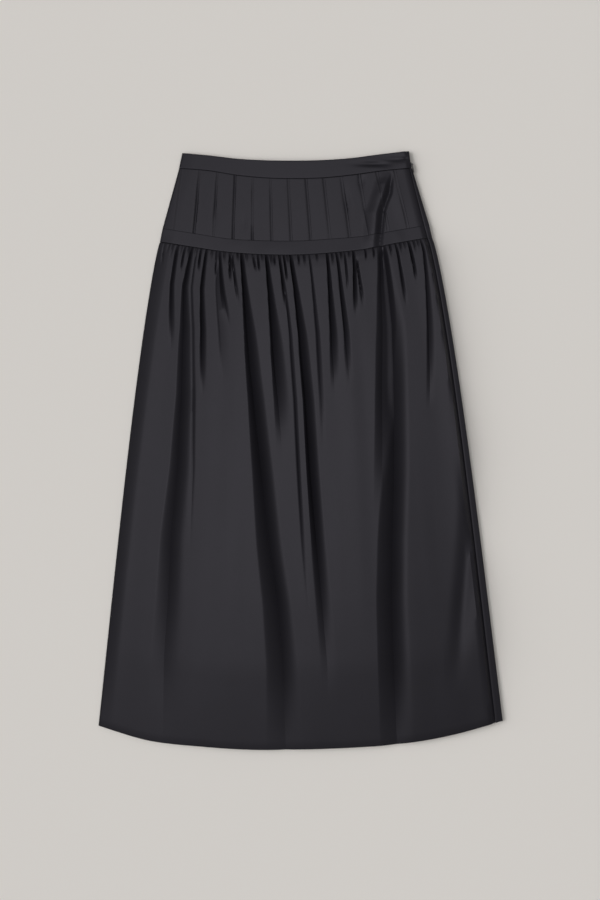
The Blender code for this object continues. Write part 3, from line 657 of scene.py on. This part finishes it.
def sunk(x, y, hollows):
    """How far the soft hollows take the cloth down at each point."""
    depth = np.zeros_like(x)
    for hollow in hollows:
        up = (y - hollow.y) / hollow.half_height
        beyond = (x - hollow.x + hollow.lean * (y - hollow.y)) / hollow.half_width
        depth = depth + hollow.depth * np.exp(-(beyond**2) - up**2)
    return depth


def crease(x, y):
    """How far the deep crease takes the cloth down at each point of a row."""
    stops = [np.interp(y, [stop.y for stop in CREASE], [stop[k] for stop in CREASE]) for k in range(1, 6)]
    middle, depth, ridge, steep, soft = stops
    beyond = x - middle
    reach = np.where(beyond < 0, -beyond / steep, beyond / soft)
    crest = beyond + steep
    run = np.where(crest < 0, -crest / RIDGE_RUN, crest / steep)
    return depth * np.clip(1 - reach, 0, 1) ** CREASE_WALL - ridge * (1 - smooth(run))


def front_points(upper, lower, shares_at, downs, wall, lips, puffs, turns, relief=None, hollows=()):
    """Face of a front piece over the back. Of lips, puffs and turns the first is at its upper edge."""
    rows = []
    for down in downs:
        ends, _ = panel(upper, lower, [0, 1], down)
        lip = lips[0] + (lips[1] - lips[0]) * down
        left, edge, width = ends[0], ends[1] - lip, ends[1] - ends[0]
        x, y = panel(upper, lower, shares_at(down, left, edge) * (edge - left) / width, down)
        sides = side_rise(x - left, edge - x)
        puff = puffs[0] + (puffs[1] - puffs[0]) * down
        hollow = sunk(x, y, hollows) + crease(x, y)
        z = lie(edge - x, wall) + (puff - np.minimum(hollow, puff)) * sides
        if relief:
            z = z + relief(x, down)
        length = upper.heights[4] - lower.heights[4]
        z = z - rolled(x - left, EDGE_ROLL, PRESSED_LEFT_DROP)
        z = z - rolled(edge - x, EDGE_ROLL, PRESSED_RIGHT_DROP)
        z = z - rolled(down * length, PRESSED_ROLL, turns[0])
        z = z - rolled((1 - down) * length, PRESSED_ROLL, turns[1])
        rows.append((x, y, z))
    return [np.array(part) for part in zip(*rows)]


def pressed_rows(length, count):
    """Shares down a piece of that length in mm, with close rows where its edges turn in."""
    near = np.array([0, 0.25, 0.6, 1.0, 1.5]) / length
    return np.concatenate([near, np.linspace(near[-1], 1 - near[-1], count)[1:-1], 1 - near[::-1]])


def pressed_columns(count):
    """The same shares across a piece at each height, with close columns at its sides."""
    near = np.array([0, 0.002, 0.005])
    shares = np.concatenate([near, np.linspace(near[-1], 1 - near[-1], count)[1:-1], 1 - near[::-1]])
    return lambda down, left, edge: shares


# The crepe with its threads turned across, in the band's colours, which are painted paler as a painted
# sheen.
crosswise_crepe_painted_sheen = charcoal_crepe(
    "charcoal_crepe_crosswise_painted_sheen", BAND_COLOUR_PAINTED_SHEEN, BAND_PALE_PAINTED_SHEEN, (ALONG_THREADS, ACROSS_THREADS, ACROSS_THREADS)
)
hip_band_front = cloth_shell(
    "hip_band_front_cloth",
    *front_points(
        HIP_SEAM,
        GATHER_SEAM,
        pressed_columns(240),
        pressed_rows(21, 16),
        BAND_WALL,
        (HIP_LIP + SEAM_GAP, SKIRT_LIP + SEAM_GAP),
        (HIP_PUFF, BAND_FOOT_PUFF),
        (0.2, 0.7),
        hollows=BAND_HOLLOWS,
    ),
    thickness=BAND_SHELL,
)
lay(hip_band_front, "hip_band_front", crosswise_crepe_painted_sheen)
hip_band_back = cloth_shell(
    "hip_band_back_cloth",
    *back_points(HIP_SEAM, GATHER_SEAM, np.linspace(0, 1, 8), 60, BAND_WALL, (HIP_LIP, SKIRT_LIP)),
)
lay(hip_band_back, "hip_band_back", crosswise_crepe_painted_sheen)

# Yoke: the fitted piece between waistband and hip band. Thirteen narrow tucks are stitched down its front
# and pressed to the right, fanning out from the waist. Some have lifted a little, as the photo shows.
YOKE_TOP = CrossLine(-182.6, 167.7, (424.1, 420.5, 413.4, 409.2, 408.1, 409.4, 413.8, 419.8, 423.7))
WAIST_PUFF = 3.2
YOKE_TOP_LIP = 3.4
YOKE_LENGTH = 93
FIRST_TUCK_TOP = -178.6
TUCK_PITCH_TOP = 26.6
FIRST_TUCK_FOOT = -190.0
TUCK_PITCH_FOOT = 29.3
TUCK_WIDTH = 3.5
STITCH_DITCH = 0.3
DITCH_WIDTH = 0.45
STOPS = 9  # columns between two tucks
CLOSE_STOPS = 26  # and from the tuck where the crease begins
CREASED_FROM = 10
TUCK_RISE = 0.8  # a tuck rises over this share of its width
TUCK_FALL = 0.75  # the folded edge's width, as a share of its height
# A tuck's columns, in mm to the right of its stitched line
TUCK_PROFILE = (-0.9, -0.45, 0, 0.45, 1.0, 1.8, 2.6, 3.3, 3.5, 3.75, 4.0, 4.3, 4.8)
Tuck = namedtuple("Tuck", "top upper middle lower foot")
TUCKS = (  # how high each tuck's folded edge stands off the yoke at even stations down it, in mm
    Tuck(0.1, 0.1, 0.1, 0.1, 0.1),
    Tuck(0.1, 0.5, 1.5, 1.7, 0.9),
    Tuck(0.2, 0.5, 1.1, 0.4, 0.2),
    Tuck(0.9, 1.4, 0.9, 0.8, 1.4),
    Tuck(0.1, 0.4, 0.3, 0.3, 1.4),
    Tuck(0.2, 0.4, 0.6, 0.5, 0.6),
    Tuck(0.4, 0.4, 0.5, 0.6, 0.5),
    Tuck(0.8, 0.8, 0.8, 0.8, 0.7),
    Tuck(0.7, 0.7, 0.6, 0.4, 0.3),
    Tuck(0.3, 0.6, 1.5, 0.8, 0.6),
    Tuck(1.3, 0.5, 0.4, 0.5, 0.3),
    Tuck(0.6, 0.4, 0.3, 0.6, 0.3),
    Tuck(0.6, 0.2, 0.4, 0.8, 0.3),
)
YOKE_HOLLOWS = (
    Hollow(-150, 380, 9, 30, 0.1, 0.6),
    Hollow(-129, 352, 3, 20, 0.05, 0.7),
    Hollow(-86, 342, 4, 12, 0.0, 0.7),
    Hollow(70, 375, 4, 20, 0.15, 1.5),
    Hollow(92, 404, 5, 9, 0.0, 1.6),
    Hollow(146, 380, 10, 34, 0.2, -1.4),
)


def tuck_middle(index, down):
    """x of a tuck's middle, at a share down the yoke."""
    top = FIRST_TUCK_TOP + TUCK_PITCH_TOP * index
    return top + (FIRST_TUCK_FOOT + TUCK_PITCH_FOOT * index - top) * down


def tuck_relief(x, down):
    """The tucks: a stitched ditch at the left of each, a rise across it and a folded edge at the right."""
    z = np.zeros_like(x)
    half = TUCK_WIDTH / 2
    for index, tuck in enumerate(TUCKS):
        height = np.interp(down, np.linspace(0, 1, len(tuck)), tuck)
        beyond = x - tuck_middle(index, down)
        rise = smooth((beyond + half) / (TUCK_RISE * TUCK_WIDTH))
        fall = 1 - smooth((beyond - half) / (TUCK_FALL * height))
        z = z + height * rise * fall * (beyond > -half)
        z = z - STITCH_DITCH * min(1, 2 * height) * np.exp(-(((beyond + half) / DITCH_WIDTH) ** 2))
    return z


def yoke_shares(down, left, edge):
    """Columns of the yoke: close together at each tuck, and wider apart between tucks."""
    profile = np.array(TUCK_PROFILE) - TUCK_WIDTH / 2
    stops = [left, left + 1, left + 2.5]
    for index in range(len(TUCKS)):
        middle = tuck_middle(index, down)
        stops += list(middle + profile)
        if index < len(TUCKS) - 1:
            ahead = tuck_middle(index + 1, down) + profile[0]
            count = CLOSE_STOPS if index >= CREASED_FROM else STOPS
            stops += list(np.linspace(stops[-1], ahead, count)[1:-1])
    stops += list(np.linspace(stops[-1], edge - 2.5, 5)[1:]) + [edge - 1, edge]
    stops = np.sort(np.array(stops))
    return (stops - left) / (edge - left)


yoke_downs = pressed_rows(YOKE_LENGTH, 50)
yoke_grid = front_points(
    YOKE_TOP,
    HIP_SEAM,
    yoke_shares,
    yoke_downs,
    CLOTH_WALL,
    (YOKE_TOP_LIP + SEAM_GAP, HIP_LIP + SEAM_GAP),
    (WAIST_PUFF, HIP_PUFF),
    (0.45, 0.2),
    relief=tuck_relief,
    hollows=YOKE_HOLLOWS,
)
yoke_front = cloth_shell("yoke_front_cloth", *yoke_grid)
lay(yoke_front, "yoke_front", crepe)
yoke_back = cloth_shell(
    "yoke_back_cloth",
    *back_points(YOKE_TOP, HIP_SEAM, np.linspace(0, 1, 20), 80, CLOTH_WALL, (YOKE_TOP_LIP, HIP_LIP)),
)
lay(yoke_back, "yoke_back", crepe)

# Waistband: a narrow band of two layers with firm interfacing between them, turned at its top edge and
# sewn to the yoke. It opens at the right, where the zip ends.
WAIST_TOP = CrossLine(-177.9, 162.7, (447.1, 442.9, 437.9, 435.6, 435.0, 435.9, 439.1, 444.7, 449.4))
WAIST_SEAM = CrossLine(-182.6, 166.0, YOKE_TOP.heights)
WAISTBAND_SHELL = 1.4
WAISTBAND_HOLLOWS = (
    Hollow(110, 430, 22, 3.4, -0.25, 2.9),
    Hollow(142, 437, 22, 4.2, -0.2, 2.6),
    Hollow(158, 438.5, 6, 1.6, -0.2, 1.6),
    Hollow(128, 421, 12, 4, 0.0, -0.6),
)

waistband_front = cloth_shell(
    "waistband_front_cloth",
    *front_points(
        WAIST_TOP,
        WAIST_SEAM,
        pressed_columns(200),
        pressed_rows(26, 20),
        BAND_WALL,
        (0, 0),
        (WAIST_PUFF, WAIST_PUFF),
        (0.7, 0.35),
        hollows=WAISTBAND_HOLLOWS,
    ),
    thickness=WAISTBAND_SHELL,
)
lay(waistband_front, "waistband_front", crepe)


def waistband_back_points():
    """The back's inner face, flat on the ground from side to side."""
    rows = []
    for down in pressed_rows(26, 8):
        x, y = panel(WAIST_TOP, WAIST_SEAM, np.linspace(0, 1, 60), down)
        rows.append((x, y, np.full_like(x, WAISTBAND_SHELL)))
    return [np.array(part) for part in zip(*rows)]


waistband_back = cloth_shell(
    "waistband_back_cloth", *waistband_back_points(), thickness=WAISTBAND_SHELL
)
lay(waistband_back, "waistband_back", crepe)

# Concealed zip: its two tapes lie closed on each other inside the rolled side, and are drawn as one sheet.
# The nylon coil runs along their outer edge. Both come out at the waistband's edge, where the slider sits.
TAPE_SHELL = 0.6
TAPE_STEP_MM = 4
TAPE_COLUMNS = 9
TAPE_MATCH = 0.02  # points of its solid are in one section when their heights are nearer than this
TAPE_COLOUR = "#161618"
TAPE_RIB_MM = 0.9
COIL_OUT = 0.9  # its middle lies this far outside the tape's edge
COIL_HEIGHT = 2.6
COIL_PITCH = 1.2
COIL_FOOT = 1.0  # it starts this far above the tape's lower end, and ends at COIL_TOP
COIL_TOP = 428.0
LOOP_RADIUS = 0.5
LOOP_END = 0.35
LOOP_THICKNESS = 0.7
LOOP_SIDES = 8
COIL_COLOUR = "#0f0f11"
COIL_CLOUD_MM = 1.11

tape_points = np.array([v.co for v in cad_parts["zip_tape"].data.vertices]) * 1000
tape_heights = np.unique(tape_points[:, 1].round(2))
tape_sections = [tape_points[abs(tape_points[:, 1] - y) < TAPE_MATCH] for y in tape_heights]
tape_rows = np.arange(tape_heights[-1], tape_heights[0], -TAPE_STEP_MM)
tape_left = np.interp(tape_rows, tape_heights, [points[:, 0].min() for points in tape_sections])
tape_right = np.interp(tape_rows, tape_heights, [points[:, 0].max() for points in tape_sections])
tape_x = tape_left[:, None] + (tape_right - tape_left)[:, None] * np.linspace(0, 1, TAPE_COLUMNS)
tape_y = np.repeat(tape_rows[:, None], TAPE_COLUMNS, axis=1)
tape_z = np.full_like(tape_x, tape_points[:, 2].max())


def noisy_finish(name, colour, scale, detail, rough, relief=None):
    """A plain dark finish: its roughness lies between two values and follows a noise, as its relief does."""
    material = bpy.data.materials.new(name)
    material.use_nodes = True
    tree = material.node_tree
    shader = tree.nodes["Principled BSDF"]
    place = add_node(tree, "ShaderNodeTexCoord").outputs["Object"]
    scaled = add_node(tree, "ShaderNodeMapping", {"Scale": scale}, {"Vector": place})
    noise = add_node(
        tree, "ShaderNodeTexNoise", {"Scale": 1.0, "Detail": detail}, {"Vector": scaled.outputs["Vector"]}
    ).outputs["Fac"]
    gloss = add_node(tree, "ShaderNodeMapRange", {"To Min": rough[0], "To Max": rough[1]}, {"Value": noise})
    tree.links.new(gloss.outputs["Result"], shader.inputs["Roughness"])
    if relief:
        depths = {"Strength": relief[0], "Distance": relief[1]}
        bump = add_node(tree, "ShaderNodeBump", depths, {"Height": noise})
        tree.links.new(bump.outputs["Normal"], shader.inputs["Normal"])
    shader.inputs["Base Color"].default_value = linear(colour)
    return material


# Woven polyester tape: a matt black ribbed ribbon. Its ribs are 0.4 mm apart, too fine to show, so they
# are drawn at 0.9 mm.
tape_scale = (1000 / TAPE_RIB_MM, 250 / TAPE_RIB_MM, 1)
woven_tape = noisy_finish(
    "black_woven_polyester_tape", TAPE_COLOUR, tape_scale, 1.0, (0.7, 0.8), relief=(0.4, 0.0002)
)

zip_tape = cloth_shell("zip_tape_cloth", tape_x, tape_y, tape_z, thickness=TAPE_SHELL)
zip_tape.data.materials.append(woven_tape)
softbox_reach.objects.link(zip_tape)
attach(zip_tape, "skirt")
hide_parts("zip_tape")


def repeated(model, name, places):
    """Copies one small model to each place, joins the copies into one piece and removes the model."""
    copies = []
    for place in places:
        copy = model.copy()
        copy.data = model.data.copy()
        copy.data.transform(place)
        bpy.context.scene.collection.objects.link(copy)
        copies.append(copy)
    bpy.data.objects.remove(model)
    bpy.ops.object.select_all(action="DESELECT")
    for copy in copies:
        copy.select_set(True)
    bpy.context.view_layer.objects.active = copies[0]
    bpy.ops.object.join()
    copies[0].name = copies[0].data.name = name
    softbox_reach.objects.link(copies[0])
    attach(copies[0], "skirt")
    return copies[0]


def rounded_rod(radius, length, sides, end_radius):
    """A short rod along Y with narrowed ends, in mm."""
    bpy.ops.object.select_all(action="DESELECT")
    bpy.ops.mesh.primitive_cylinder_add(
        vertices=sides, radius=radius / 1000, depth=length / 1000, rotation=(math.pi / 2, 0, 0)
    )
    bpy.ops.object.transform_apply(location=True, rotation=True, scale=True)
    rod = bpy.context.object
    bpy.ops.object.mode_set(mode="EDIT")
    bpy.ops.mesh.select_mode(type="FACE")
    bpy.ops.object.mode_set(mode="OBJECT")
    for face in rod.data.polygons:
        face.select = len(face.vertices) > 4  # the two ends
    bpy.ops.object.mode_set(mode="EDIT")
    bpy.ops.mesh.bevel(offset=(radius - end_radius) / 1000, segments=2, affect="EDGES")
    bpy.ops.object.mode_set(mode="OBJECT")
    bpy.ops.object.shade_smooth_by_angle(angle=SHARP_BEND)
    return rod


# Nylon coil: one spiral of black monofilament, whose loops catch each other. Its loops are 0.6 mm apart and
# are drawn at 1.2 mm. The eye sees a fine black ribbed line with small lights.
coil_scale = (1000 / COIL_CLOUD_MM,) * 3
nylon = noisy_finish("black_nylon_monofilament", COIL_COLOUR, coil_scale, 2.0, (0.3, 0.42))
nylon.node_tree.nodes["Principled BSDF"].inputs["IOR"].default_value = 1.53

coil_heights = np.arange(tape_heights[0] + COIL_FOOT, COIL_TOP, COIL_PITCH)
coil_x = np.interp(coil_heights, tape_heights, [points[:, 0].max() for points in tape_sections]) + COIL_OUT
coil_loop = rounded_rod(LOOP_RADIUS, LOOP_THICKNESS, LOOP_SIDES, LOOP_END)
coil_places = [
    Matrix.Translation((x / 1000, y / 1000, COIL_HEIGHT / 1000)) for x, y in zip(coil_x, coil_heights)
]
zip_coil = repeated(coil_loop, "zip_coil", coil_places)
zip_coil.data.materials.append(nylon)

# Slider and pull: small zinc castings under black enamel, at the top of the coil. The solids have their
# shapes. The eye sees a deep black with a half gloss and a little unevenness where the enamel has flowed.
ENAMEL_COLOUR = "#101012"
ENAMEL_FLOW_MM = 1.43

enamel_scale = (1000 / ENAMEL_FLOW_MM,) * 3
enamel = noisy_finish("black_enamelled_zinc", ENAMEL_COLOUR, enamel_scale, 2.0, (0.28, 0.42), (0.2, 0.00005))
for node_name in ("zip_slider", "zip_pull"):
    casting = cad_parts[node_name]
    softbox_reach.objects.link(casting)
    for slot in casting.material_slots:
        slot.material = enamel

# Sewing: fine polyester thread in the cloth's own black. A row of stitches runs down the left side of each
# tuck, and the hem is blind stitched, with one small prick of thread for each stitch.
STITCH_PITCH = 3.0
STITCH_LENGTH = 2.3
THREAD_RADIUS = 0.16
STITCH_SIT = 0.05  # the middle of a stitch lies this far above the cloth
STITCH_SIDES = 6
STITCH_END = 0.08  # a stitch narrows to this radius
TUCK_START = 2  # the tucks' rows of stitches leave this much free at the waist, and TUCK_FREE at the foot
TUCK_FREE = 4
HEM_DEPTH = 22  # how far the hem's pricks lie above its edge, and HEM_FREE from its sides
HEM_FREE = 6
HEM_PITCH = 8
PRICK_LENGTH = 0.9
THREAD_COLOUR = "#19181b"
FUZZ_MM = 0.4

# Spun polyester thread: a soft low sheen and a twist that is too fine to draw, so only its fuzz shows.
fuzz_scale = (1000 / FUZZ_MM,) * 3
thread = noisy_finish("black_spun_polyester_thread", THREAD_COLOUR, fuzz_scale, 2.0, (0.5, 0.65))


def along(start, end):
    """The place of a stitch that runs from one point to another, both in mm."""
    start, end = Vector(start), Vector(end)
    turned = (end - start).to_track_quat("Y", "Z").to_matrix().to_4x4()
    return Matrix.Translation((start + end) / 2000) @ turned


def on_face(grid, x, row):
    """A point in mm on a cloth's face, at an x and at a row of its grid."""
    grid_x, grid_y, grid_z = (part[row] for part in grid)
    return float(x), float(np.interp(x, grid_x, grid_y)), float(np.interp(x, grid_x, grid_z)) + STITCH_SIT


def on_yoke(index, down):
    """A point on the stitched line of a tuck, at a share down the yoke."""
    x = tuck_middle(index, down) - TUCK_WIDTH / 2
    row = int(np.searchsorted(yoke_downs, down))
    return on_face(yoke_grid, x, min(row, len(yoke_downs) - 1))


tuck_places = []
for index in range(len(TUCKS)):
    for start in np.arange(TUCK_START, YOKE_LENGTH - TUCK_FREE, STITCH_PITCH):
        ends = [on_yoke(index, (start + step) / YOKE_LENGTH) for step in (0, STITCH_LENGTH)]
        tuck_places.append(along(*ends))
tuck_stitch = rounded_rod(THREAD_RADIUS, STITCH_LENGTH, STITCH_SIDES, STITCH_END)
tuck_stitches = repeated(tuck_stitch, "tuck_stitches", tuck_places)
tuck_stitches.data.materials.append(thread)

hem_row = int(np.argmin(abs(skirt_depths - (SKIRT_DEPTH - HEM_DEPTH))))
hem_x = skirt_front_grid[0][hem_row]
hem_places = []
for x in np.arange(hem_x[0] + HEM_FREE, hem_x[-1] - HEM_FREE, HEM_PITCH):
    ends = [on_face(skirt_front_grid, x + step, hem_row) for step in (0, PRICK_LENGTH)]
    hem_places.append(along(*ends))
hem_prick = rounded_rod(THREAD_RADIUS, PRICK_LENGTH, STITCH_SIDES, STITCH_END)
hem_stitches = repeated(hem_prick, "hem_stitches", hem_places)
hem_stitches.data.materials.append(thread)
